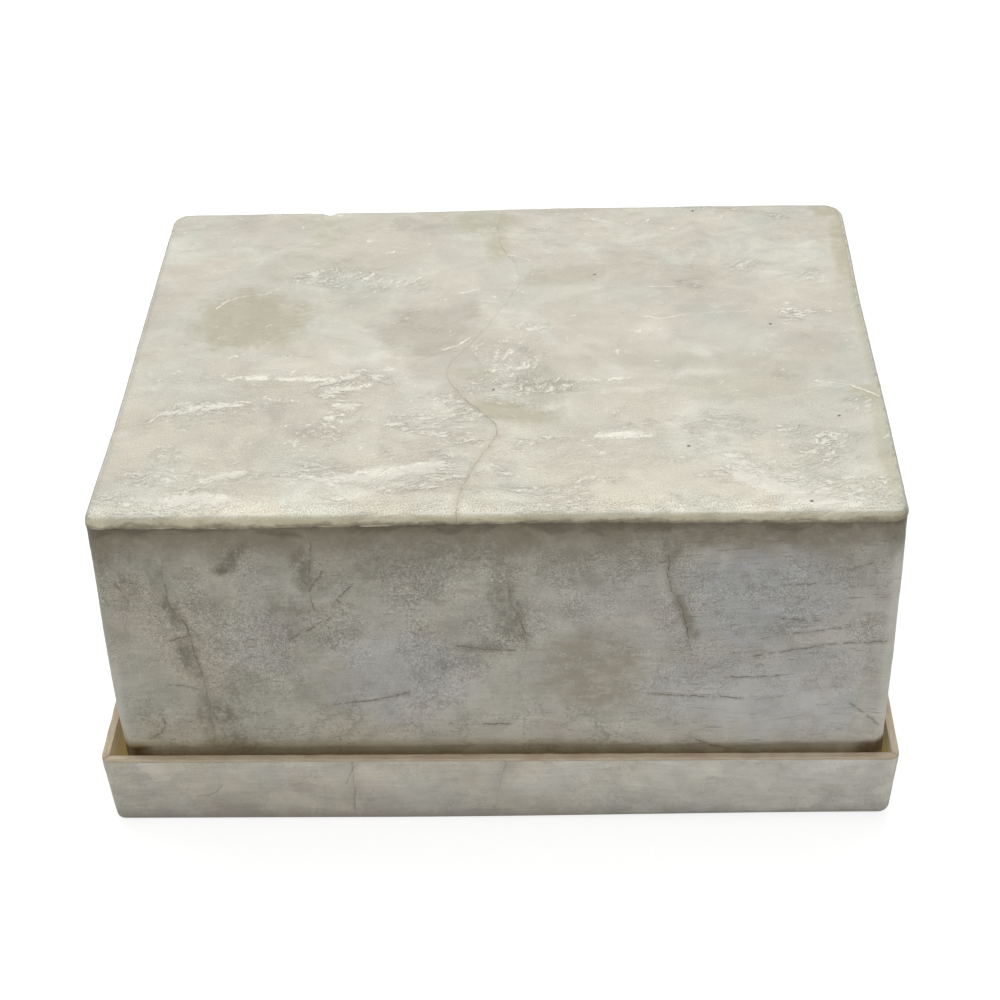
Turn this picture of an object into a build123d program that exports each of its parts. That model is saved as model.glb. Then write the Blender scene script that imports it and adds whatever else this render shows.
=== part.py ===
from build123d import *
import os

# A rectangular keepsake box laminated from windowpane oyster shell: a deep lid, closed on top,
# whose open mouth stands inside the rim of a shallow tray. Millimetres. X runs along the front,
# Y to the back and Z up; the origin is the middle of the tray's underside.

# Driving sizes of the lid
lid_width = 114.4
lid_depth = 90.1
overall_height = 55.6
lid_shift = (0.5, 0.3)
lid_corner_radii = {"front_left": 1.3, "front_right": 1.6, "back_right": 2.8, "back_left": 2.3}

# The lid's walls draw in towards its mouth, so that it clears the tray, and its corners grow
# rounder there. A step is (height, share of the draw) and together they make a gentle S.
mouth_draw = 0.3
mouth_rounding = 0.8
draw_steps = [(13.5, 1), (15.5, 0.8), (18.5, 0.2), (20.5, 0)]

# Driving sizes of the tray
tray_width = 118.8
tray_depth = 94.4
tray_height = 12.6
tray_flare = 0.7
tray_rim_radius = 1.2
tray_foot_radius = 1.5
tray_edge_radius = 0.8

# Plies of the lid: an outer leaf of shell on a thicker lining
lid_leaf = 0.5
lid_lining = 1.1
lid_top_lining = 1.2
lip_proud = 0.1
lip_drop = 1.9
lid_edge_radius = 0.9
lining_edge_radius = 0.4

# Plies of the tray
tray_leaf = 0.45
tray_lining = 0.75
floor_leaf = 0.5
floor_lining = 1.0
floor_leaf_inset = 1.6
edging_height = 0.5
edging_round = 0.15

# Heights that follow
tray_floor = floor_leaf + floor_lining
lid_ceiling = overall_height - lid_leaf - lid_top_lining
lip_end = overall_height - lip_drop
edging_start = tray_height - edging_height
wall_inset = lip_proud
lining_inset = lip_proud + lid_leaf
cavity_inset = lining_inset + lid_lining

smallest_radius = 0.3
beyond = 1.5        # how far a cutting shape runs past what it cuts
cut_depth = 6.0     # how far a wall's cutting prism reaches in from the outer face
corner_zone = 12.0  # side of the square that holds one corner wrap

# Seams between neighbouring leaves. On a wall a point is (distance along the wall from its
# middle, height), read from outside, and on the top and the floor it is (x, y).
top_seam = [(-5.3, -49), (-5.1, -43.8), (-4.6, -38.5), (-2.3, -31), (0.1, -23.8), (-2, -19.7), (-5.5, -14.5),
            (-8.1, -7.6), (-4.9, 0.2), (-0.4, 10.8), (2.6, 22), (-1, 34), (-0.4, 49)]
floor_seam = [(7, -52), (3, -26), (-4, -3), (2, 21), (-3, 52)]
lid_seams = {
    "front": [[(-43, 0), (-42.9, 15.6), (-43.1, 25), (-43.9, 30.3), (-44.8, 36.4), (-46.7, 40.1), (-46.9, 55)],
              [(-31.9, 0), (-31, 14), (-30.1, 22.2), (-28.6, 33.5), (-26.4, 39.4), (-25.8, 47.9), (-25.7, 55)],
              [(2.6, 0), (3.3, 21.2), (3.1, 27.1), (4.1, 33.3), (2.1, 40.6), (1.3, 47.6), (0.8, 55)],
              [(27.6, 0), (27.8, 21.8), (28, 29.2), (26.4, 38.2), (24.3, 43.6), (24.4, 47.4), (24.6, 55)]],
    "back": [[(-21, 0), (-18, 17), (-22.5, 33), (-17, 55)], [(15, 0), (19.5, 15), (16, 34), (20, 55)]],
    "left": [[(-5, 0), (-1.5, 16), (-6, 32), (1, 55)]],
    "right": [[(8, 0), (4, 19), (7.5, 37), (2, 55)]],
}
tray_seams = {
    "front": [[(-22, -1), (-21.8, 6), (-21.6, 14)], [(-1.2, -1), (0.2, 7), (1.4, 14)]],
    "back": [[(-24, -1), (-22.5, 6), (-25, 14)], [(19, -1), (17.2, 7), (18.4, 14)]],
    "left": [[(3, -1), (4.6, 6), (3.4, 14)]],
    "right": [[(-9, -1), (-7.4, 7), (-8.8, 14)]],
}

# Edges of the wraps that fold round the lid's upright corners, as (distance from the corner, height)
wrap_edge = [(6.4, 0), (6.2, 12), (5, 22), (3.9, 33), (3.7, 43.7), (5.1, 55)]

# Each wall's plane looks outwards: x runs to its right as seen from outside, and y is height
wall_planes = {
    "front": Plane(origin=(0, -lid_depth / 2, 0), x_dir=(1, 0, 0), z_dir=(0, -1, 0)),
    "right": Plane(origin=(lid_width / 2, 0, 0), x_dir=(0, 1, 0), z_dir=(1, 0, 0)),
    "back": Plane(origin=(0, lid_depth / 2, 0), x_dir=(-1, 0, 0), z_dir=(0, 1, 0)),
    "left": Plane(origin=(-lid_width / 2, 0, 0), x_dir=(0, -1, 0), z_dir=(-1, 0, 0)),
}
wall_lengths = {"front": lid_width, "right": lid_depth, "back": lid_width, "left": lid_depth}
corners = {"front_left": (-1, -1), "front_right": (1, -1), "back_right": (1, 1), "back_left": (-1, 1)}
corner_walls = {"front_left": ("left", "front"), "front_right": ("front", "right"),
                "back_right": ("right", "back"), "back_left": ("back", "left")}


def outline(width, depth, radii):
    """A rectangle about the origin with its own radius at each corner, never quite sharp."""
    points = [(sx * width / 2, sy * depth / 2) for sx, sy in corners.values()]
    rounding = [max(radii[name], smallest_radius) for name in corners]
    return make_face(FilletPolyline(*points, radius=rounding, close=True))


def block(face, low, high):
    """The upright solid on a face between two heights."""
    return extrude(Pos(0, 0, low) * face, amount=high - low)


def lid_outline(inset, drawn=0):
    """The lid's outline taken in by an inset, and drawn in by a share of the mouth's draw."""
    shrink = 2 * (inset + drawn * mouth_draw)
    radii = {name: radius + drawn * mouth_rounding - inset for name, radius in lid_corner_radii.items()}
    return outline(lid_width - shrink, lid_depth - shrink, radii)


def lid_block(inset, low, high):
    """The lid's full outline taken in by an inset, as an upright solid between two heights."""
    return block(lid_outline(inset), low, high)


def lid_form(inset, low, high):
    """The lid's form taken in by an inset, drawn in to its mouth, from below the draw to above it."""
    stations = [(low, 1), *draw_steps, (high, 0)]
    return loft([Pos(0, 0, height) * lid_outline(inset, drawn) for height, drawn in stations], ruled=True)


def tray_outline(inset, height):
    """The tray's flared outline at a height, taken in by an inset."""
    rise = height / tray_height
    shrink = 2 * (inset + tray_flare * (1 - rise))
    radius = tray_foot_radius + (tray_rim_radius - tray_foot_radius) * rise - inset
    return outline(tray_width - shrink, tray_depth - shrink, dict.fromkeys(corners, radius))


def tray_block(inset, low, high):
    """The tray's flared solid between two heights, taken in by an inset."""
    sections = [Pos(0, 0, height) * tray_outline(inset, height) for height in (low, high)]
    return loft(sections, ruled=True)


def round_top(solid, radius):
    """The solid with the edges of its top face rounded."""
    return fillet(solid.faces().sort_by(Axis.Z)[-1].edges(), radius)


def round_bottom(solid, radius):
    """The solid with the edges of its bottom face rounded."""
    return fillet(solid.faces().sort_by(Axis.Z)[0].edges(), radius)


def seam_line(points):
    """A seam as one edge: straight through two points, smooth through more."""
    return Line(*points) if len(points) == 2 else Spline(*points)


def band(first, last):
    """The flat region between two seams that run the same way."""
    edges = [seam_line(first), Line(first[-1], last[-1]), seam_line(last), Line(last[0], first[0])]
    return make_face(edges)


def wall_cut(side, first, last):
    """A prism through one wall between two seams."""
    plane = wall_planes[side].offset(tray_width - lid_width)
    return extrude(plane * band(first, last), amount=-(cut_depth + tray_width - lid_width))


def plan_cuts(seam, reach):
    """Two prisms, left and right of a seam that runs from front to back, over all heights."""
    cuts = {}
    for side, sign in (("left", -1), ("right", 1)):
        edge = [(sign * reach, seam[0][1]), (sign * reach, seam[-1][1])]
        cuts[side] = block(band(seam, edge), -beyond, overall_height + beyond)
    return cuts


def side_regions():
    """For each side, the prism of plan that belongs to it, split by 45 degree mitres at the corners."""
    x = tray_width / 2 + beyond
    y = tray_depth / 2 + beyond
    ridge = x - y
    shapes = {
        "front": [(-x, -y), (x, -y), (ridge, 0), (-ridge, 0)],
        "right": [(x, -y), (x, y), (ridge, 0)],
        "back": [(x, y), (-x, y), (-ridge, 0), (ridge, 0)],
        "left": [(-x, y), (-x, -y), (-ridge, 0)],
    }
    return {side: block(make_face(Polyline(*points, close=True)), -beyond, overall_height + beyond)
            for side, points in shapes.items()}


def wrap_lines(side):
    """The edges of the two corner wraps on a wall, left one first."""
    half = wall_lengths[side] / 2
    left = [(distance - half, height) for distance, height in wrap_edge]
    right = [(half - distance, height) for distance, height in wrap_edge]
    return left, right


def numbered(prefix, pieces):
    """Names for pieces that stand side by side, from 1."""
    return {f"{prefix}_{number}": piece for number, piece in enumerate(pieces, 1)}


def lid_linings(core, regions):
    """The lid's inner plies: a top plate on four mitred wall plates."""
    plies = {"lid_top_lining": core & lid_block(-beyond, lid_ceiling, overall_height)}
    ring = core & lid_block(-beyond, 0, lid_ceiling)
    ring -= lid_form(cavity_inset, 0, lid_ceiling)
    for side, region in regions.items():
        plies[f"lid_{side}_lining"] = ring & region
    return plies


def lid_top_leaves(core):
    """The two leaves of shell on the top, folded down over its edges as a lip."""
    cap = round_top(lid_block(0, lip_end, overall_height), lid_edge_radius) - core
    cuts = plan_cuts(top_seam, lid_width)
    return {f"lid_top_leaf_{side}": cap & cut for side, cut in cuts.items()}


def lid_wall_leaves(core):
    """The leaves on each wall of the lid, and the wraps round its upright corners."""
    ring = lid_form(wall_inset, tray_floor, lip_end) - core
    leaves = {}
    middles = {}
    for side, seams in lid_seams.items():
        left, right = wrap_lines(side)
        lines = [left, *seams, right]
        pieces = [ring & wall_cut(side, *pair) for pair in zip(lines, lines[1:])]
        leaves.update(numbered(f"lid_{side}_leaf", pieces))
        middles[side] = wall_cut(side, left, right)
    for corner, (sx, sy) in corners.items():
        zone = Box(corner_zone, corner_zone, 2 * overall_height)
        zone = Pos(sx * (lid_width - corner_zone) / 2, sy * (lid_depth - corner_zone) / 2, 0) * zone
        first, second = corner_walls[corner]
        leaves[f"lid_corner_wrap_{corner}"] = (ring & zone) - middles[first] - middles[second]
    return leaves


def tray_linings(core, regions):
    """The tray's inner plies: a floor plate with four mitred wall plates standing on it."""
    plies = {"tray_floor_lining": core & tray_block(-beyond, 0, tray_floor)}
    walls = core & block(tray_outline(-beyond, tray_height), tray_floor, tray_height)
    walls -= tray_block(tray_leaf + tray_lining, tray_floor, tray_height)
    for side, region in regions.items():
        plies[f"tray_{side}_lining"] = walls & region
    return plies


def tray_leaves(core, regions):
    """The leaves of shell under the tray's floor and round its walls."""
    shell = round_bottom(tray_block(0, 0, edging_start), tray_edge_radius) - core
    sole = block(tray_outline(floor_leaf_inset, 0), 0, floor_leaf)
    cuts = plan_cuts(floor_seam, tray_width)
    leaves = {f"tray_floor_leaf_{side}": sole & cut for side, cut in cuts.items()}
    walls = shell - sole
    for side, seams in tray_seams.items():
        reach = wall_lengths[side]
        ends = [[(sign * reach, -beyond), (sign * reach, tray_height + beyond)] for sign in (-1, 1)]
        lines = [ends[0], *seams, ends[1]]
        wall = walls & regions[side]
        pieces = [wall & wall_cut(side, *pair) for pair in zip(lines, lines[1:])]
        leaves.update(numbered(f"tray_{side}_leaf", pieces))
    return leaves


def tray_edging(regions):
    """The four strips that cap the tray's rim, mitred at the corners."""
    rim = tray_outline(0, tray_height) - tray_outline(tray_leaf + tray_lining, tray_height)
    ring = round_top(block(rim, edging_start, tray_height), edging_round)
    return {f"tray_rim_edging_{side}": ring & region for side, region in regions.items()}


def build_parts():
    """Every piece of the box by name, in place."""
    regions = side_regions()
    lid_core = round_top(lid_form(lining_inset, tray_floor, overall_height - lid_leaf), lining_edge_radius)
    tray_core = round_bottom(tray_block(tray_leaf, floor_leaf, edging_start), tray_edge_radius - tray_leaf)
    lid = {**lid_linings(lid_core, regions), **lid_top_leaves(lid_core), **lid_wall_leaves(lid_core)}
    parts = {name: Pos(*lid_shift, 0) * piece for name, piece in lid.items()}
    parts.update(tray_linings(tray_core, regions))
    parts.update(tray_leaves(tray_core, regions))
    parts.update(tray_edging(regions))
    return parts


os.makedirs("parts", exist_ok=True)
for part_name, part in build_parts().items():
    export_step(part, f"parts/{part_name}.step")
    print(part_name, round(part.volume, 1))
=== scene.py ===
import bpy
import bmesh
import math
from mathutils import Matrix, Vector, noise


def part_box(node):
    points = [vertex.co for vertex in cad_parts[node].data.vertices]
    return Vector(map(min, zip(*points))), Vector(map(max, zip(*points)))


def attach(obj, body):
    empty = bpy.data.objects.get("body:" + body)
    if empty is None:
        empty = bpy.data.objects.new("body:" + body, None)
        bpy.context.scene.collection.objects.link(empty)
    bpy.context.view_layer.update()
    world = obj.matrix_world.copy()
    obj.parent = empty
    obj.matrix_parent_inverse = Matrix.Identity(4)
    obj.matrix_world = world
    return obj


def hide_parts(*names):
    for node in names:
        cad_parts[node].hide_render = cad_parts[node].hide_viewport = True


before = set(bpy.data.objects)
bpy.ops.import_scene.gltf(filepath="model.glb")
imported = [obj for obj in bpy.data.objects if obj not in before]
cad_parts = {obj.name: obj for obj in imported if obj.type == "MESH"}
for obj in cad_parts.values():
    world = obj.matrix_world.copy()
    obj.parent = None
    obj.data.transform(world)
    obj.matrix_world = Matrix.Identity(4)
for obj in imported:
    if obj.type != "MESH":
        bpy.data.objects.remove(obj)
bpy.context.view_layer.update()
print("frame loaded with", len(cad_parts), "nodes")

# Lengths below are millimetres in the box's own frame; a mesh is scaled to metres when it is done
mm = 0.001
upward = Vector((0, 0, 1))


def extent(*starts):
    # lowest and highest corner of all the nodes whose names start with one of these
    corners = [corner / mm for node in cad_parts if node.startswith(starts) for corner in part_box(node)]
    low = Vector([min(corner[axis] for corner in corners) for axis in range(3)])
    high = Vector([max(corner[axis] for corner in corners) for axis in range(3)])
    return low, high


capLow, capHigh = extent("lid_top_leaf")
rimLow, rimHigh = extent("tray_rim_edging")
lidMiddle = Vector(((capLow.x + capHigh.x) / 2, (capLow.y + capHigh.y) / 2, 0))

lidShape = {
    "half": Vector(((capHigh.x - capLow.x) / 2, (capHigh.y - capLow.y) / 2, 0)),
    "radii": {"frontLeft": 1.5, "frontRight": 2.2, "backRight": 3.4, "backLeft": 2.8},
    "top": capHigh.z,
    "lipEnd": capLow.z,
    "foot": extent("lid_front_leaf")[0].z,
    "roundOver": 0.9,
    "leafInset": 0.1,          # the wall leaves stand this far inside the lip
    "behindLip": 0.6,          # and run this far up behind it
    "dent": 0.12,              # no wall is dented deeper than this, as the lining lies behind it
    "topDent": 0.34,           # and the top no deeper than this
    "leafThickness": 0.5,
    "drawFrom": 21.0,          # the walls draw in between these heights, towards the mouth
    "drawTo": 13.0,
    "draw": {"left": 0.15, "right": 0.05, "front": 0.25, "back": 0.3},
    "rounding": {"frontLeft": 0.6, "frontRight": 0.2, "backRight": 0.8, "backLeft": 0.8},
}
trayShape = {
    "half": Vector((rimHigh.x, rimHigh.y, 0)),
    "height": rimHigh.z,
    "edgingStart": rimLow.z,
    "flare": 0.7,
    "rimRadius": 1.2,
    "footRadius": 1.5,
    "fold": {"frontLeft": 0.5, "frontRight": 1.9, "backRight": 0.8, "backLeft": 0.8},
    "leafThickness": 0.45,
    "wall": 1.2,
}
gridSteps = {"wall": 0.5, "top": 0.42, "tray": 0.65, "rim": 0.7}       # spacing of the surface grids
wrapColumns = 26               # a corner wrap is this many cells wide
seamBevel = 0.04               # worn edge of each leaf
rimBevel = 0.22                # and of the rim's strips, as a share of their width and height
seamLap = 0.03                 # how far each leaf runs past its seam line, so that no gap opens there
seamRagged = 0.3               # how far a seam wanders off its smooth line

# How far each side of the lid is bowed in near its top, as (distance along the side, inward)
lidBows = {
    "front": [(-57, 0), (57, 0)],
    "right": [(-45, -0.1), (-20, -0.1), (-5, 0), (5, 0.1), (12, 0.2), (20, 0.15), (30, 0), (45, -0.1)],
    "back": [(-57, -0.6), (-45, -0.85), (-12, -0.85), (-2, -0.6), (5, -0.35), (12, -0.2), (25, -0.1),
              (57, -0.1)],
    "left": [(-45, -0.2), (-27, -0.1), (-15, 0), (-5, 0.08), (7, 0.18), (13, 0.24), (26, 0.24), (37, 0.16),
             (45, 0.05)],
}
lidChip = {"place": (-30.3, 44.9), "size": (1.0, 1.0), "depth": 0.6}       # in the back edge of the top
# The lip's end runs a little up and down along the front, as (distance along, rise)
lipWave = [(-57, -0.2), (-40, -0.3), (-22, -0.15), (-5, 0.15), (15, 0.25), (30, 0.05), (42, -0.1),
           (57, 0.15)]

# Seams between leaves: (height, distance along the wall from its middle), and (y, x) on the top
topSeam = [(-49, -5.3), (-43.8, -5.1), (-38.5, -4.6), (-31, -2.3), (-23.8, 0.1), (-19.7, -2),
           (-14.5, -5.5), (-7.6, -8.1), (0.2, -4.9), (10.8, -0.4), (22, 2.6), (34, -1), (49, -0.4)]
lidSeams = {
    "front": [[(0, -43), (15.6, -42.9), (25, -43.1), (30.3, -43.9), (36.4, -44.8), (40.1, -46.7),
               (55, -46.9)],
              [(0, -31.9), (14, -31), (22.2, -30.1), (33.5, -28.6), (39.4, -26.4), (47.9, -25.8),
               (55, -25.7)],
              [(0, 2.6), (21.2, 3.3), (27.1, 3.1), (33.3, 4.1), (40.6, 2.1), (47.6, 1.3), (55, 0.8)],
              [(0, 27.6), (21.8, 27.8), (29.2, 28), (38.2, 26.4), (43.6, 24.3), (47.4, 24.4), (55, 24.6)]],
    "back": [[(0, -21), (17, -18), (33, -22.5), (55, -17)], [(0, 15), (15, 19.5), (34, 16), (55, 20)]],
    "left": [[(0, -5), (16, -1.5), (32, -6), (55, 1)]],
    "right": [[(0, 8), (19, 4), (37, 7.5), (55, 2)]],
}
traySeams = {
    "front": [[(-1, -22), (6, -21.8), (14, -21.6)], [(-1, -1.2), (7, 0.2), (14, 1.4)]],
    "back": [[(-1, -24), (6, -22.5), (14, -25)], [(-1, 19), (7, 17.2), (14, 18.4)]],
    "left": [[(-1, 3), (6, 4.6), (14, 3.4)]],
    "right": [[(-1, -9), (7, -7.4), (14, -8.8)]],
}
# How far from the corner a wrap's edge runs, as (height, distance)
wrapEdge = [(0, 6.4), (12, 6.2), (22, 5), (33, 3.9), (43.7, 3.7), (55, 5.1)]

# How plainly the front's seams and the top's seam show, at heights and at places from front to back
frontShows = [[(11, 0), (14, 0.4), (24, 0.5), (30, 0.8), (42, 0.6), (48, 0.1), (55, 0)],
              [(11, 0), (55, 0)],
              [(11, 0), (27, 0), (31, 0.25), (35, 0.8), (42, 0.5), (46, 0), (55, 0)],
              [(11, 0), (27, 0), (31, 0.3), (35, 0.9), (48, 0.9), (50.5, 0), (55, 0)]]
topShow = [(-49, 0.8), (-43, 0.85), (-24, 0.9), (-20, 0.45), (-8, 0.35), (2, 0.05), (20, 0.03),
           (28, 0.15), (36, 0.2), (49, 0.05)]

# Each side's direction to the right as seen from outside, its outward direction and its two corners
sides = {
    "front": (Vector((1, 0, 0)), Vector((0, -1, 0)), "frontLeft", "frontRight"),
    "right": (Vector((0, 1, 0)), Vector((1, 0, 0)), "frontRight", "backRight"),
    "back": (Vector((-1, 0, 0)), Vector((0, 1, 0)), "backRight", "backLeft"),
    "left": (Vector((0, -1, 0)), Vector((-1, 0, 0)), "backLeft", "frontLeft"),
}


def smoothStep(low, high, value):
    share = min(max((value - low) / (high - low), 0), 1)
    return share * share * (3 - 2 * share)


def blendTo(first, second, share):
    return first + (second - first) * share


def curveAt(points, at):
    # a smooth curve through (at, value) points, read at one place
    last = len(points) - 1
    index = max(0, min(last - 1, sum(1 for point in points if point[0] <= at) - 1))
    (x0, y0), (x1, y1) = points[index], points[index + 1]
    xBefore, yBefore = points[max(index - 1, 0)]
    xAfter, yAfter = points[min(index + 2, last)]
    slopeIn = (y1 - yBefore) / (x1 - xBefore)
    slopeOut = (yAfter - y0) / (xAfter - x0)
    run = x1 - x0
    share = min(max((at - x0) / run, 0), 1)
    rest = 1 - share
    return (y0 * (1 + 2 * share) * rest ** 2 + slopeIn * run * share * rest ** 2
            + y1 * share ** 2 * (3 - 2 * share) - slopeOut * run * share ** 2 * rest)


def wander(at, seed):
    # small sideways wander of a broken shell edge
    kinks = 0.6 * noise.noise((at * 1.5, seed, 3)) + 0.35 * noise.noise((at * 4, seed, 6))
    return seamRagged * (noise.noise((at * 0.4, seed, 0)) + kinks)


def halfLength(ring, side):
    # half the length of one side of a rounded rectangle
    return abs(sides[side][0].dot(ring["half"]))


def ringPoint(ring, side, along, inset):
    # a point on a rounded rectangle, and its outward direction; along runs from the side's middle
    # and may pass the corner on to the next side
    tangent, outward, leftCorner, rightCorner = sides[side]
    sign = 1 if along > 0 else -1
    half = halfLength(ring, side) - inset
    reach = abs(outward.dot(ring["half"])) - inset
    radius = max(ring["radii"][rightCorner if along > 0 else leftCorner] - inset, 0.02)
    left = half - abs(along)
    if left >= radius:
        return ring["middle"] + tangent * along + outward * reach, outward
    if left <= -radius:
        return ring["middle"] + tangent * sign * half + outward * (reach + left), tangent * sign
    turn = (radius - left) / (2 * radius) * math.pi / 2
    facing = outward * math.cos(turn) + tangent * sign * math.sin(turn)
    hub = tangent * sign * (half - radius) + outward * (reach - radius)
    return ring["middle"] + hub + facing * radius, facing


def lidRing(height):
    # the lid's outline at a height, drawn in towards its mouth
    share = 1 - smoothStep(lidShape["drawTo"], lidShape["drawFrom"], height)
    draw = {side: share * amount for side, amount in lidShape["draw"].items()}
    shift = Vector((draw["left"] - draw["right"], draw["front"] - draw["back"], 0)) / 2
    shrink = Vector((draw["left"] + draw["right"], draw["front"] + draw["back"], 0)) / 2
    rounding = lidShape["rounding"]
    radii = {corner: radius + share * rounding[corner] for corner, radius in lidShape["radii"].items()}
    return {"middle": lidMiddle + shift, "half": lidShape["half"] - shrink, "radii": radii}


def trayRing(height):
    # the tray's flared outline at a height
    rise = height / trayShape["height"]
    flare = trayShape["flare"] * (1 - rise)
    radius = blendTo(trayShape["footRadius"], trayShape["rimRadius"], rise)
    return {"middle": Vector((0, 0, 0)), "half": trayShape["half"] - Vector((flare, flare, 0)),
            "radii": dict.fromkeys(lidShape["radii"], radius)}


def bowed(point):
    # the hand-made lid is not quite straight: its sides bow in and out near the top
    plan = point - lidMiddle
    share = smoothStep(26, 50, point.z)
    move = Vector((0, 0, 0))
    for side, bow in lidBows.items():
        tangent, outward = sides[side][:2]
        reach = 1 - smoothStep(0, 14, abs(outward.dot(lidShape["half"])) - outward.dot(plan))
        if share * reach > 0:
            move -= outward * curveAt(bow, tangent.dot(plan)) * reach * share
    return point + move


def spot(x, y, centre, size, turn=0):
    # 1 in the middle of a turned ellipse, falling to 0 past its uneven edge
    dx = x - centre[0]
    dy = y - centre[1]
    if abs(dx) + abs(dy) > 2 * max(size):
        return 0
    cos, sin = math.cos(math.radians(turn)), math.sin(math.radians(turn))
    far = math.hypot((dx * cos + dy * sin) / size[0], (dy * cos - dx * sin) / size[1])
    far += 0.3 * noise.noise((x * 0.3, y * 0.3, 2)) + 0.2 * noise.noise((x * 1.2, y * 1.2, 5))
    return 1 - smoothStep(0.6, 1.25, far)


def stroke(x, y, start, end, width):
    # 1 along a short line, falling to 0 at its sides
    runX, runY = end[0] - start[0], end[1] - start[1]
    dx, dy = x - start[0], y - start[1]
    if abs(dx) + abs(dy) > abs(runX) + abs(runY) + 2 * width:
        return 0
    share = min(max((dx * runX + dy * runY) / (runX * runX + runY * runY), 0), 1)
    far = math.hypot(dx - share * runX, dy - share * runY)
    return 1 - smoothStep(0.2 * width, width, far)


# Placed marks: spots are (centre, half sizes, turn in degrees, strength), strokes are (start, end,
# width, strength); on the top as (x, y) from the lid's middle, on the front as (along, height)
topMarks = {
    "scar": [((-39.8, 8.6), (9.2, 9.6), 12, 1), ((-11.9, 5), (7.8, 7.2), -18, 1),
              ((-6.5, 10.3), (3.6, 2.6), 35, 0.8)],
    "glint": [((45.5, 8.2), (2.6, 2.2), -40, 0.8), ((39.6, 24.4), (4.2, 2.2), 0, 0.5),
              ((4.7, 5.8), (3.4, 1.6), -4, 0.9), ((32.7, -21.2), (3.2, 4), -60, 0.7),
              ((1.6, -5), (6, 7), 30, 0.5), ((-4, -42.9), (34, 1.4), 0, 0.5),
              ((30, -42.6), (26, 1.2), 0, 0.5), ((53.5, -42), (3, 2.4), 0, 0.8),
              ((46, -37), (9, 5), -20, 0.45), ((-38, -34), (14, 7), 15, 0.3),
              ((-14, -34), (10, 4), 12, 0.4), ((18, -25.5), (8, 3), 0, 0.35),
              ((-36, -9), (16, 2.6), 0, 0.35), ((-41, -17), (12, 2.6), 6, 0.35),
              ((14, -31), (16, 6), 5, 0.25)],
    "tan": [((-4.2, 40.5), (6.5, 4.4), -30, 0.7), ((-1.2, 31.5), (2, 5), 0, 0.8),
            ((54.8, -14.6), (2.6, 2), -30, 0.9), ((1.7, -19), (5.8, 2.6), -22, 0.8),
            ((55.6, 30), (1.6, 13), 0, 0.9), ((54.6, 43), (3.4, 2.4), -40, 1),
            ((-30, 38), (3, 8), 0, 0.4), ((-24, 27), (11, 4), 5, 0.2), ((56, -30), (1.6, 14), 0, 0.6),
            ((-4, -8), (3.5, 2), 0, 0.6)],
    "dim": [((9.9, 21.8), (7.4, 3.6), 12, 1), ((6.8, -12), (4.6, 6.6), 0, 0.9),
            ((3, -19), (7, 3.4), -15, 1), ((36.7, -12), (10, 4.6), 4, 0.8),
            ((30, -5.5), (22, 2.4), -4, 0.6), ((46.6, -2.4), (6, 4.6), 0, 0.4),
            ((-34.6, 25.3), (6, 4.6), 10, 0.6), ((30, 20), (6, 5), 0, 0.4), ((20, 26), (6, 4), 0, 0.3),
            ((13, 11), (7, 4), 0, 0.35), ((-33, -12.3), (9, 3), 0, 0.25),
            ((-35, 40.2), (3, 3.6), 0, 0.4), ((-24, 12), (7, 6), 0, 0.5)],
    "pale": [((-14.3, -35.1), (8, 3), 10, 0.8), ((-41.9, -41.3), (7, 2), 0, 0.9),
             ((17.8, -25.4), (4, 2), 0, 0.9), ((-10.7, -20.9), (7, 6), 0, 0.6),
             ((23.9, 4.1), (3.4, 3), 0, 0.7), ((46.3, 7.9), (3.4, 3.7), 0, 0.6),
             ((4.4, 7), (2.4, 4), 0, 0.7), ((0.7, -5.8), (3.4, 3.4), 0, 0.6),
             ((9, 33.7), (8.3, 4), 0, 0.3), ((42, -39), (11, 3.6), -30, 0.9),
             ((-30.5, -8.1), (11, 1.8), 0, 0.5), ((-17, -8), (4, 3), 0, 0.6)],
    # strokes are streaks painted as highlights, slightly raised
    "strokes": [((-42, -2.9), (-39.3, -1.5), 0.7, 0.7), ((-49.9, -7.1), (-47.6, -6), 0.8, 0.8),
                ((-10.4, 13.9), (-8.7, 14.8), 0.6, 0.6),
                ((-24.4, 0), (-20.8, -1), 0.6, 0.7), ((-17.8, -3.4), (-13.2, -3.5), 0.7, 0.7),
                ((23.1, 39.4), (25.8, 38.6), 0.6, 0.7),
                ((-41, -9), (-35.9, -8.8), 1, 1),
                ((-33.6, -9.1), (-25.4, -9.6), 0.9, 1), ((-26.2, -13.2), (-19.1, -11.1), 0.9, 0.8),
                ((-50.8, -18.8), (-46, -17.6), 0.9, 0.8), ((-45.7, -17), (-37.8, -15.8), 1.2, 0.9),
                ((-36.2, -14.2), (-30.9, -15.4), 0.8, 0.8), ((-24.4, -16.9), (-21.4, -16.7), 0.9, 0.8),
                ((-41.6, -36.4), (-36.1, -34), 1.3, 0.8), ((-44.5, -41), (-38.1, -40.4), 1.5, 1),
                ((-27.2, -35.4), (-22.1, -37.9), 0.9, 0.9), ((-22.7, -36.2), (-8.4, -32.7), 1.6, 1),
                ((-30.3, -26.4), (-27.9, -27.7), 1.2, 0.7), ((12.2, -10.3), (19.6, -9.9), 0.9, 0.9),
                ((15.2, -25.4), (22.3, -25), 1.4, 1),
                ((34.4, -36.1), (46.1, -43.1), 1.8, 0.9), ((46.5, -43.1), (50.6, -43.4), 1.1, 0.9),
                ((29.5, -30), (34.7, -30.8), 0.9, 0.6),
                ((-30.3, 43.9), (-28.6, 43.4), 1.4, 1)],
}
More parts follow.
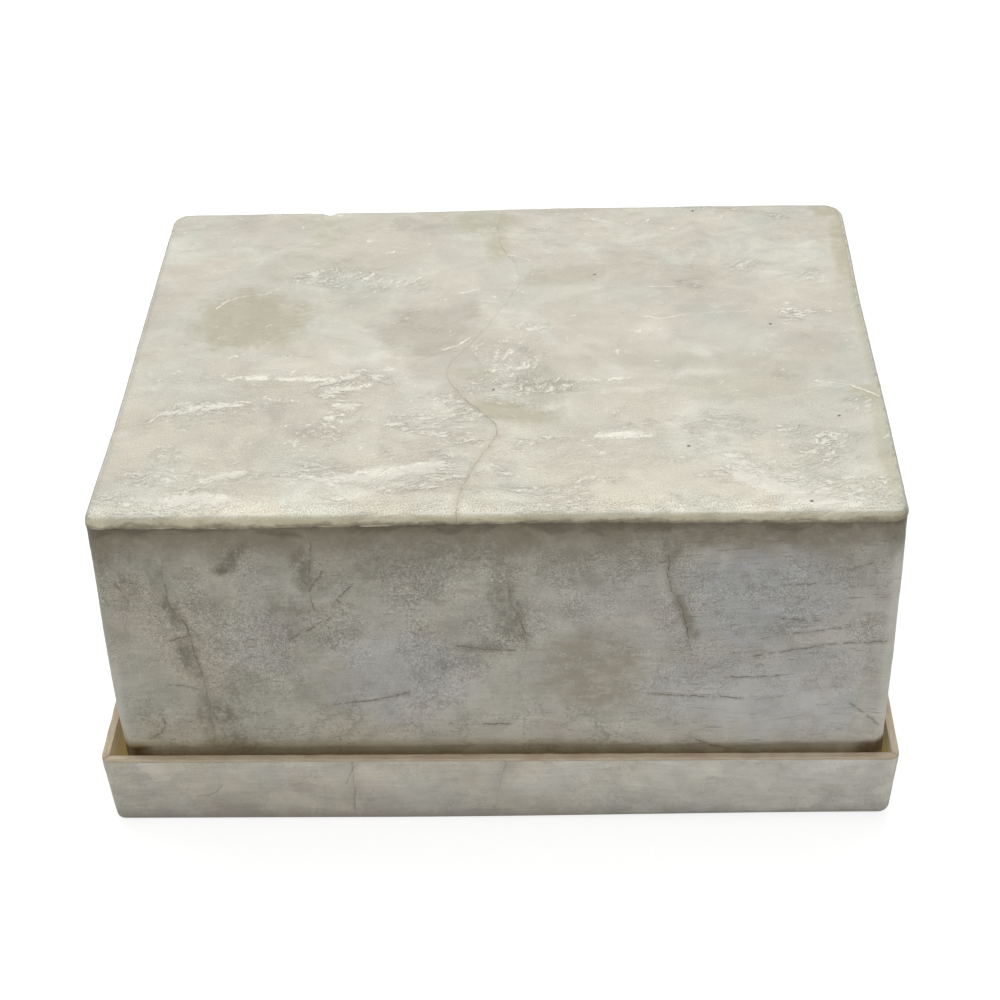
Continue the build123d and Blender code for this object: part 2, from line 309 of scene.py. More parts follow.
frontMarks = {
    "scar": [((13.2, 27.4), (8, 7.4), 0, 1), ((12, 23), (5, 4), 0, 0.7)],
    "shade": [((-47.8, 44.5), (1.7, 4), 12, 0.5), ((-46.3, 38.5), (1.4, 4), 24, 0.8),
              ((-44.9, 30), (1.4, 4.6), 12, 0.75), ((-43.6, 19.5), (1.4, 5), -4, 0.55),
              ((-40, 13.6), (5, 1.6), -8, 0.7), ((-38, 46.6), (2.1, 1), 25, 1),
              ((-36.4, 49), (0.9, 3), -32, 1), ((-27.4, 46.4), (1.5, 5), 4, 0.8),
              ((-40.6, 19), (2.2, 4.4), 25, 0.8), ((-30, 38.5), (2.6, 5), 20, 0.4),
              ((1.4, 39), (2.4, 7), 15, 0.6), ((-4, 50), (12, 2.6), 0, 0.5),
              ((14, 47), (9, 3), 10, 0.3), ((24.7, 49.5), (1.5, 3), 0, 0.6),
              ((27, 37.2), (1, 4.4), 22, 0.7), ((-14, 47), (9, 4), 0, 0.3),
              ((40, 51.2), (16, 1.8), 0, 0.6), ((50, 45), (5, 4), 0, 0.3),
              ((-2.4, 32), (4.4, 0.9), 0, 0.6), ((-52.5, 47), (2.6, 7), 0, 0.5),
              ((-27, 24), (9, 1.6), 8, 0.25), ((-36, 22), (4, 6), 0, 0.2)],
    "cool": [((-14, 26), (11, 9), 0, 0.7), ((38, 41), (11, 9), 20, 1), ((44, 22), (13, 9), 0, 0.8),
             ((-34, 33), (7, 6), 0, 0.3), ((30, 24), (9, 6), 0, 0.6)],
    "light": [((6.2, 34), (1.6, 6), 8, 1), ((14, 35), (9, 4.5), 0, 0.9), ((6, 20), (6, 5), 0, 0.5),
              ((-35.5, 43), (5, 5), 20, 0.5), ((10, 40.5), (5, 3), 0, 0.6),
              ((-41, 46), (2.5, 5), 0, 0.5), ((-39, 19), (5, 4), 0, 0.4), ((36, 17), (16, 3), 0, 0.5),
              ((-17, 36), (5, 4), 0, 0.4)],
}


def marked(marks, kind, x, y):
    return max((strength * spot(x, y, centre, size, turn) for centre, size, turn, strength in marks[kind]),
               default=0)


def stroked(x, y):
    return max(strength * stroke(x, y, start, end, width)
               for start, end, width, strength in topMarks["strokes"])


def sheetLayers(bm):
    # what a leaf's surface carries for its finish, besides its place
    numbers = ("leaf", "scar", "glint", "tan", "dim", "shade", "cool", "light", "pale")
    layers = {name: bm.verts.layers.float.new(name) for name in numbers}
    for name in ("sheet", "gaps", "shows"):
        layers[name] = bm.verts.layers.float_vector.new(name)
    return layers


def leafGrid(columns, rows, place, seed, thickness):
    # a dense sheet, then made thick: place gives each grid point its position and marks
    bm = bmesh.new()
    layers = sheetLayers(bm)
    bmesh.ops.create_grid(bm, x_segments=columns, y_segments=rows, size=0.5)
    for vert in bm.verts:
        point, marks = place(vert.co.x + 0.5, vert.co.y + 0.5)
        vert.co = point
        vert[layers["leaf"]] = seed
        for name, value in marks.items():
            vert[layers[name]] = value
    thicken(bm, thickness)
    return bm


def thicken(bm, thickness):
    # gives a sheet its thickness inwards and wears its edges round
    bm.normal_update()
    bmesh.ops.solidify(bm, geom=bm.faces[:], thickness=thickness)
    bm.normal_update()
    corners = [edge for edge in bm.edges if edge.is_manifold and edge.calc_face_angle() > math.radians(60)]
    bmesh.ops.bevel(bm, geom=corners, offset=seamBevel, offset_type="OFFSET", segments=2, profile=0.5,
                    affect="EDGES", clamp_overlap=True, material=-1)


def makePiece(name, bm, body, slot, finish, *nodes):
    # turns a finished bmesh into an object that rides on its body and stands for CAD nodes
    bmesh.ops.scale(bm, vec=(mm, mm, mm), verts=bm.verts[:])
    for face in bm.faces:
        face.smooth = True
    mesh = bpy.data.meshes.new(name)
    bm.to_mesh(mesh)
    bm.free()
    piece = bpy.data.objects.new(name, mesh)
    bpy.context.scene.collection.objects.link(piece)
    mesh.materials.append(finish)
    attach(piece, body)
    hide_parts(*nodes)


def lidRelief(point):
    # the uneven surface of hand-laid leaves on the lid
    return (0.13 * noise.noise(point / 26) + 0.08 * noise.noise(point / 8 + upward * 40)
            + 0.03 * noise.noise(point / 2.5) + 0.02 * noise.noise(point / 1.2))


def wallRelief(point, height):
    # the relief of a wall's leaf, which lies flat where it runs up behind the lip
    behindLip = smoothStep(lidShape["lipEnd"] - 0.3, lidShape["lipEnd"] + 0.3, height)
    return max(lidRelief(point), -lidShape["dent"]) * (1 - behindLip) - 0.06 * behindLip


def seamLine(points, seed):
    return lambda at: curveAt(points, at) + wander(at, seed)


def wallLeaf(side, edges, shows, seed):
    # a leaf on a lid wall between two edge lines; shows tell how plainly each edge is seen
    low = lidShape["foot"]
    high = lidShape["lipEnd"] + lidShape["behindLip"]
    rows = round((high - low) / gridSteps["wall"])
    width = max(edges[1](height) - edges[0](height) for height in (low, 30, high))
    columns = round(width / gridSteps["wall"])

    def place(across, up):
        height = blendTo(low, high, up)
        left, right = edges[0](height), edges[1](height)
        along = blendTo(left - seamLap, right + seamLap, across)
        point, facing = ringPoint(lidRing(height), side, along, lidShape["leafInset"])
        point = bowed(point + upward * height)
        relief = wallRelief(point, height)
        values = {"gaps": (along - left, right - along, height - low), "sheet": (along, height, 0),
                  "shows": (shows[0](height), shows[1](height), 0)}
        if side == "front":
            values.update({kind: marked(frontMarks, kind, along, height) for kind in frontMarks})
            relief -= 0.08 * values["scar"]
        return point + facing * relief, values

    return leafGrid(columns, rows, place, seed, lidShape["leafThickness"])


def wrapLine(side, end):
    # where a wall meets the wrap at one end (-1 or 1) of a side, at each height
    half = halfLength(lidShape, side)
    seed = 70 + 2 * list(sides).index(side) + end
    return lambda at: end * (half - curveAt(wrapEdge, at)) + wander(at, seed)


def wrapLeaf(side, end, seed):
    # the strip folded round the lid's corner at one end of a side and on to the next
    low = lidShape["foot"]
    high = lidShape["lipEnd"] + lidShape["behindLip"]
    rows = round((high - low) / gridSteps["wall"])
    names = list(sides)
    nextSide = names[(names.index(side) + end) % 4]
    ownLine, nextLine = wrapLine(side, end), wrapLine(nextSide, -end)

    def place(across, up):
        height = blendTo(low, high, up)
        ring = lidRing(height)
        own = ownLine(height) - end * (halfLength(ring, side) - lidShape["leafInset"])
        beyond = nextLine(height) + end * (halfLength(ring, nextSide) - lidShape["leafInset"])
        away = blendTo(min(own, beyond) - seamLap, max(own, beyond) + seamLap, across)
        along = end * (halfLength(ring, side) - lidShape["leafInset"]) + away
        point, facing = ringPoint(ring, side, along, lidShape["leafInset"])
        point = bowed(point + upward * height)
        relief = wallRelief(point, height)
        values = {"gaps": (abs(away - own), abs(away - beyond), height - low), "sheet": (along, height, 0),
                  "shows": (0.15, 0.15, 0)}
        if side == "front":
            topEnd = smoothStep(41, 50, height) if end < 0 else smoothStep(46, 52, height)
            paleEnd = smoothStep(24, 40, height) if end < 0 else topEnd
            values["shade"] = topEnd * (1 - smoothStep(2, 4.5, abs(away)))
            # pale is a painted highlight along the corner's rounding, low down
            values["pale"] = (1 - paleEnd) * (1 - smoothStep(0.7, 2.2, abs(away)))
        return point + facing * relief, values

    return leafGrid(wrapColumns, rows, place, seed, lidShape["leafThickness"])


def foldProfile():
    # the folded edge of a top leaf from the lip's end up: (how far in, height, tilt of the surface)
    radius = lidShape["roundOver"]
    shoulder = lidShape["top"] - radius
    lip = [(0, blendTo(lidShape["lipEnd"], shoulder, share), 0) for share in (0, 0.2, 0.4, 0.6, 0.8)]
    turns = [math.radians(angle) for angle in (0, 18, 36, 54, 72)]
    bend = [(radius * (1 - math.cos(turn)), shoulder + radius * math.sin(turn), turn) for turn in turns]
    return lip + bend


def topLeaf(right, seed):
    # one half of the top: a flat sheet folded down over the lid's edges, cut at the seam
    profile = foldProfile()
    fold = len(profile)
    radius = lidShape["roundOver"]
    half = lidShape["half"]
    flatX = half.x - radius
    flatY = half.y - radius
    columns = round(flatX / gridSteps["top"]) + fold
    cellsY = round(2 * flatY / gridSteps["top"])
    rows = cellsY + 2 * fold
    ring = {"middle": lidMiddle, "half": half, "radii": lidShape["radii"]}

    def fromMiddle(index, count, flat, inset, depth):
        # plan coordinate of a grid line counted from one edge, closing up over the fold
        if index >= fold:
            return blendTo(-flat, flat, (index - fold) / count)
        edge = -(flat + radius - inset)
        return blendTo(edge, -flat, (index - depth) / (fold - depth))

    def place(across, up):
        column = round(across * columns)
        fromEdge = columns - column if right else column
        fromFront = round(up * rows)
        fromBack = rows - fromFront
        depth = min(fromEdge, fromFront, fromBack)
        folded = depth < fold
        inset, height, turn = profile[depth] if folded else (radius, lidShape["top"], math.pi / 2)
        x = fromMiddle(fromEdge, 2 * (columns - fold), flatX, inset, depth)
        y = fromMiddle(min(fromFront, fromBack), cellsY, flatY, inset, depth)
        x = -x if right else x
        y = -y if fromBack < fromFront else y
        if not folded:
            inset = min(half.x - abs(x), half.y - abs(y))
        if fromEdge <= min(fromFront, fromBack):
            point, facing = ringPoint(ring, "right" if right else "left", y if right else -y, inset)
        elif fromFront <= fromBack:
            point, facing = ringPoint(ring, "front", x, inset)
        else:
            point, facing = ringPoint(ring, "back", -x, inset)
        facing = facing * math.cos(turn) + upward * math.sin(turn)
        point = bowed(point + upward * height)
        plan = point - lidMiddle
        pull = 1 - smoothStep(4, 42, abs(plan.x))
        point.x += pull * (curveAt(topSeam, plan.y) + wander(plan.y, 9) + (-seamLap if right else seamLap))
        x, y = point.x - lidMiddle.x, plan.y
        seamGap = abs(x - curveAt(topSeam, y) - wander(y, 9))
        sheetY = y
        if folded and min(fromFront, fromBack) < fold:
            sheetY += math.copysign(lidShape["top"] - height, y)
        values = {kind: marked(topMarks, kind, x, y) for kind in ("scar", "glint", "tan", "dim", "pale")}
        streak = stroked(x, y)
        rough = noise.noise((x / 2.4, y / 0.9, 7))
        relief = lidRelief(point) - 0.2 - 0.12 * values["scar"]
        relief += values["glint"] * 0.07 * rough + streak * 0.05
        if right:
            relief += 0.06 * (1 - smoothStep(0.3, 4, seamGap)) * curveAt(topShow, y)
        relief = max(relief, -lidShape["topDent"])
        relief -= lidChip["depth"] * spot(x, y, lidChip["place"], lidChip["size"])
        values["light"] = streak
        lipGap = height - lidShape["lipEnd"] if folded else 4
        if folded:
            onLip = 1 - smoothStep(0.2, 1.6, lipGap)
            ragged = 0.12 * noise.noise((point.x * 0.3, point.y * 0.3, 11))
            ragged += 0.09 * noise.noise((point.x * 1.3, point.y * 1.3, 5))
            point.z += (ragged + (curveAt(lipWave, x) if y < 0 else 0)) * onLip
            relief = blendTo(relief, 0.05 + 0.06 * noise.noise(point * 0.7), onLip)
            values["shade"] = float(fromEdge < min(fromFront, fromBack))
        show = curveAt(topShow, y)
        values.update({"gaps": (seamGap if right else 60, 60 if right else seamGap, lipGap),
                       "sheet": (x, sheetY, 0), "shows": (show, show, 0)})
        return point + facing * relief, values

    return leafGrid(columns, rows, place, seed, lidShape["leafThickness"])


def trayFold(side, along):
    # radius of the fold under the tray's foot; it grows to the right along the front
    leftCorner, rightCorner = sides[side][2:]
    half = halfLength(trayShape, side)
    share = smoothStep(0.35, 1, (along + half) / (2 * half))
    return blendTo(trayShape["fold"][leftCorner], trayShape["fold"][rightCorner], share)


def trayLeaf(side, edges, shows, seed):
    # a leaf on the tray's outside, turned in under its foot
    bends = (90, 75, 60, 45, 30, 15, 0)
    rises = 18
    rows = len(bends) + rises
    inner = halfLength(trayShape, side)
    ends = [edge(6) if edge else sign * inner for edge, sign in zip(edges, (-1, 1))]
    columns = round((ends[1] - ends[0]) / gridSteps["tray"])

    def place(across, up):
        row = round(up * rows)
        radius = trayFold(side, blendTo(*ends, across))
        tilt = math.radians(bends[row - 1]) if 0 < row <= len(bends) else 0
        inset = 0
        if row == 0:
            inset, height, tilt = radius + 0.4, 0, math.pi / 2
        elif row <= len(bends):
            inset, height = radius * (1 - math.cos(tilt)), radius * (1 - math.sin(tilt))
        else:
            height = blendTo(radius, trayShape["edgingStart"], (row - len(bends)) / rises)
        ring = trayRing(height)
        half = halfLength(ring, side) - inset
        left = edges[0](height) - seamLap if edges[0] else -half
        right = edges[1](height) + seamLap if edges[1] else half
        along = blendTo(left, right, across)
        point, facing = ringPoint(ring, side, along, inset)
        facing = facing * math.cos(tilt) - upward * math.sin(tilt)
        point = point + upward * height
        relief = 0.1 * noise.noise(point / 20 + upward * 5) + 0.05 * noise.noise(point / 5)
        relief += 0.035 * noise.noise((along / 4, height / 1.1, seed)) + 0.025 * noise.noise(point / 1.2)
        top = trayShape["edgingStart"]
        relief *= smoothStep(0.5, 3, height) * (1 - smoothStep(top - 0.9, top, height))
        values = {"gaps": (along - left if edges[0] else 60, right - along if edges[1] else 60, height),
                  "sheet": (along, height, 0),
                  "shows": (shows[0](height), shows[1](height), float(side == "front"))}
        return point + facing * relief, values

    return leafGrid(columns, rows, place, seed, trayShape["leafThickness"])


def rimStrip(side, seed):
    # the strip that caps one side of the rim: a bar, worn round, laid along the rim and mitred
    low, high = trayShape["edgingStart"], trayShape["height"]
    bm = bmesh.new()
    layers = sheetLayers(bm)
    bmesh.ops.create_cube(bm, size=1)
    long = [edge for edge in bm.edges if abs(edge.verts[0].co.x - edge.verts[1].co.x) > 0.5]
    bmesh.ops.bevel(bm, geom=long, offset=rimBevel, offset_type="OFFSET", segments=3, profile=0.5,
                    affect="EDGES", material=-1)
    long = [edge for edge in bm.edges if abs(edge.verts[0].co.x - edge.verts[1].co.x) > 0.5]
    half = halfLength(trayShape, side)
    bmesh.ops.subdivide_edges(bm, edges=long, cuts=round(2 * half / gridSteps["rim"]), use_grid_fill=True)
    for vert in bm.verts:
        across, inward, up = vert.co.x + 0.5, vert.co.y + 0.5, vert.co.z + 0.5
        inset = inward * trayShape["wall"]
        ring = trayRing(trayShape["height"])
        end = half - inset
        along = blendTo(-end, end, across)
        point, facing = ringPoint(ring, side, along, inset)
        wobble = 0.09 * noise.noise((along / 3, seed, 0)) + 0.07 * noise.noise((along / 0.9, seed, 4))
        swell = abs(0.1 * noise.noise((along / 5, seed, 8)))
        vert.co = point + upward * (blendTo(low, high, up) + wobble * up) - facing * swell * (1 - inward)
        vert[layers["leaf"]] = seed
        vert[layers["gaps"]] = (inward * trayShape["wall"], 60, up * 0.5)
        vert[layers["sheet"]] = (along, up * 0.5 + inset, 0)
    bmesh.ops.recalc_face_normals(bm, faces=bm.faces[:])
    return bm


class Wire:
    # one node output; adding, multiplying and so on put Math nodes behind it
    def __init__(self, finish, socket):
        self.finish = finish
        self.socket = socket

    def maths(self, operation, first, second):
        return self.finish.node("ShaderNodeMath", {"operation": operation}, {0: first, 1: second})

    def __add__(self, other):
        return self.maths("ADD", self, other)

    def __radd__(self, other):
        return self.maths("ADD", other, self)

    def __sub__(self, other):
        return self.maths("SUBTRACT", self, other)

    def __rsub__(self, other):
        return self.maths("SUBTRACT", other, self)

    def __mul__(self, other):
        return self.maths("MULTIPLY", self, other)

    def __rmul__(self, other):
        return self.maths("MULTIPLY", other, self)

    def __or__(self, other):
        return self.maths("MAXIMUM", self, other)

    def __and__(self, other):
        return self.maths("MINIMUM", self, other)

    def size(self):
        return self.maths("ABSOLUTE", self, 0)


class Finish:
    # a material in the making; plain holds the shader's values that are the same all over
    def __init__(self, name, plain):
        self.material = bpy.data.materials.new(name)
        self.material.use_nodes = True
        self.tree = self.material.node_tree
        self.shader = self.tree.nodes["Principled BSDF"]
        for socket, value in plain.items():
            self.shader.inputs[socket].default_value = value

    def node(self, kind, settings=None, sockets=None, out=0):
        # adds a node of any kind: its settings first, then its sockets' values or links
        made = self.tree.nodes.new(kind)
        for key, value in (settings or {}).items():
            setattr(made, key, value)
        for key, value in (sockets or {}).items():
            if isinstance(value, Wire):
                self.tree.links.new(value.socket, made.inputs[key])
            else:
                made.inputs[key].default_value = value
        return Wire(self, made.outputs[out])

    def paint(self, **wires):
        names = {"colour": "Base Color", "roughness": "Roughness", "normal": "Normal",
                 "glow": "Emission Color"}
        for key, wire in wires.items():
            self.tree.links.new(wire.socket, self.shader.inputs[names[key]])

    def attribute(self, name, out="Fac"):
        return self.node("ShaderNodeAttribute", {"attribute_name": name}, out=out)

    def objectPlace(self):
        place = self.node("ShaderNodeTexCoord", out="Object")
        return self.toned(place, 1 / mm)

    def moved(self, place, scale=(1, 1, 1), turn=0, shift=(0, 0, 0)):
        # the pattern's place, scaled, turned about z and then shifted
        return self.node("ShaderNodeMapping", {"vector_type": "POINT"},
                         {"Vector": place, "Scale": scale, "Rotation": (0, 0, math.radians(turn)),
                          "Location": shift})

    def joined(self, x, y, z=0):
        return self.node("ShaderNodeCombineXYZ", None, {0: x, 1: y, 2: z})

    def parts(self, vector):
        split = self.tree.nodes.new("ShaderNodeSeparateXYZ")
        self.tree.links.new(vector.socket, split.inputs[0])
        return [Wire(self, output) for output in split.outputs]

    def offset(self, place, other):
        return self.node("ShaderNodeVectorMath", {"operation": "ADD"}, {0: place, 1: other})

    def toned(self, vector, factor):
        # a colour made darker or lighter, or a place scaled
        return self.node("ShaderNodeVectorMath", {"operation": "SCALE"}, {0: vector, "Scale": factor})

    def noise(self, place, scale=1, detail=3, roughness=0.55, distortion=0.0, out="Fac"):
        return self.node("ShaderNodeTexNoise", None,
                         {"Vector": place, "Scale": scale, "Detail": detail, "Roughness": roughness,
                          "Distortion": distortion}, out)

    def rise(self, value, low, high, start=0.0, end=1.0):
        # a smooth step from start to end as value goes from low to high
        return self.node("ShaderNodeMapRange", {"interpolation_type": "SMOOTHSTEP"},
                         {"Value": value, "From Min": low, "From Max": high,
                          "To Min": start, "To Max": end})

    def mix(self, first, second, share):
        return self.node("ShaderNodeMix", {"data_type": "RGBA"}, {"Factor": share, 6: first, 7: second}, 2)

    def distance(self, place, point):
        return self.node("ShaderNodeVectorMath", {"operation": "DISTANCE"}, {0: place, 1: (*point, 0)},
                         "Value")

    def line(self, place, *points):
        # distance from a broken line through points
        nearest = None
        for start, end in zip(points, points[1:]):
            run = Vector((*end, 0)) - Vector((*start, 0))
            away = self.node("ShaderNodeVectorMath", {"operation": "SUBTRACT"}, {0: place, 1: (*start, 0)})
            share = self.node("ShaderNodeVectorMath", {"operation": "DOT_PRODUCT"},
                              {0: away, 1: run / run.length_squared}, "Value")
            held = self.node("ShaderNodeClamp", None, {0: share})
            foot = self.toned(self.joined(*run), held)
            far = self.node("ShaderNodeVectorMath", {"operation": "DISTANCE"}, {0: away, 1: foot}, "Value")
            nearest = far if nearest is None else nearest & far
        return nearest

    def lines(self, sheet, own, spread, places):
        # distance from the nearest of some broken lines, each of them wandering a little
        aside = self.offset(self.noise(own, 0.9, 4, 0.65, out="Color"), (-0.5, -0.5, -0.5))
        flat = self.joined(*self.parts(self.offset(sheet, self.toned(aside, spread)))[:2])
        nearest = None
        for points in places.values():
            far = self.line(flat, *points)
            nearest = far if nearest is None else nearest & far
        return nearest

    def flakes(self, place, scale):
        # uneven cells: a random value for each one, and the distance to its edge
        cell = self.node("ShaderNodeTexVoronoi", None, {"Vector": place, "Scale": scale}, "Color")
        edge = self.node("ShaderNodeTexVoronoi", {"feature": "DISTANCE_TO_EDGE"},
                         {"Vector": place, "Scale": scale}, "Distance")
        return self.parts(cell)[0], edge

    def bump(self, height, strength, distance):
        return self.node("ShaderNodeBump", None,
                         {"Height": height, "Strength": strength, "Distance": distance * mm})


def rgb(red, green, blue):
    return (red, green, blue, 1)


def shellPlaces(f, sway):
    # the place on the sheet, the leaf's pattern space, and that combed along the lamellae
    sheet = f.attribute("sheet", "Vector")
    own = f.offset(sheet, f.joined(0, 0, f.attribute("leaf")))
    x, y, z = f.parts(own)
    combed = f.joined(x, y + f.noise(own, 0.03, 1) * sway, z)
    return sheet, own, combed


def seamTone(f, colour, own, dark, soft):
    # a thin broken line on each seam in a faint painted shadow, both as plain as the edge shows
    gaps = f.parts(f.attribute("gaps", "Vector"))
    shows = f.parts(f.attribute("shows", "Vector"))
    broken = f.noise(f.moved(own, (0.8, 0.6, 1)), 1, 5, 0.7, 0.5)
    for gap, show in ((gaps[0], shows[0]), (gaps[1], shows[1])):
        colour = f.mix(colour, soft, f.rise(gap + (broken - 0.5) * 2, 0, 1.2, 0.45, 0) * show)
        colour = f.mix(colour, dark, f.rise(gap, 0.05, 0.2, 0.9, 0) * f.rise(broken, 0.44, 0.56) * show)
    return colour


topLines = {
    # thin raised creases on the top, painted with a highlight, as (x, y) points from the lid's middle
    "scarArc": [(-45.9, 12.5), (-44.2, 15), (-41.4, 16.5), (-38.6, 16.9), (-36.5, 18.5)],
    "scarRim": [(-9.1, -1.2), (-7, -0.1), (-4.9, 2.3)],
    "rising": [(-16.4, 18.9), (-13.4, 21.7)],
    "risingShort": [(-6.9, 16.4), (-4, 17.6)],
    "back": [(0.5, 28.8), (2.2, 28.2), (4.3, 27)],
    "backRight": [(14.2, 41.4), (17.5, 39.9)],
    "high": [(23.4, 17.8), (27.7, 17.7)],
    "low": [(22.4, 8.5), (25.2, 7.5), (29.8, 9)],
    "lowFar": [(31.5, 9.2), (39, 9.6)],
    "right": [(47.4, -11), (52.6, -12.4), (56.6, -15.6)],
}
topSpecks = [(14.8, 22.0), (42.0, 5.5), (27.7, -28.4), (50.0, -20.7), (44.0, -42.3), (-0.8, -12.9),
             (31.8, 43.6)]      # small dark pits in the lacquer

topTints = {
    # the top's colours
    "warm": rgb(0.605, 0.56, 0.44),
    "cool": rgb(0.585, 0.575, 0.465),
    "brown": rgb(0.55, 0.49, 0.385),
    "milky": rgb(0.72, 0.71, 0.595),
    "dim": rgb(0.44, 0.405, 0.29),
    "pale": rgb(0.74, 0.71, 0.60),
    "leftScar": rgb(0.40, 0.355, 0.225),
    "rightScar": rgb(0.42, 0.375, 0.28),
    "tan": rgb(0.42, 0.385, 0.235),
    "paintedFlash": rgb(0.97, 0.94, 0.79),
    "lipCream": rgb(0.76, 0.70, 0.50),
    "lipYellow": rgb(0.62, 0.56, 0.36),
    "lipHighlight": rgb(0.96, 0.93, 0.79),
    "lipLower": rgb(0.30, 0.25, 0.165),
    "lipPly": rgb(0.74, 0.64, 0.51),
    "lipShadow": rgb(0.085, 0.065, 0.04),
    "sideFold": rgb(0.33, 0.325, 0.25),
    "seam": rgb(0.30, 0.245, 0.15),
    "seamShadow": rgb(0.50, 0.44, 0.31),
    "speck": rgb(0.03, 0.03, 0.025),
}


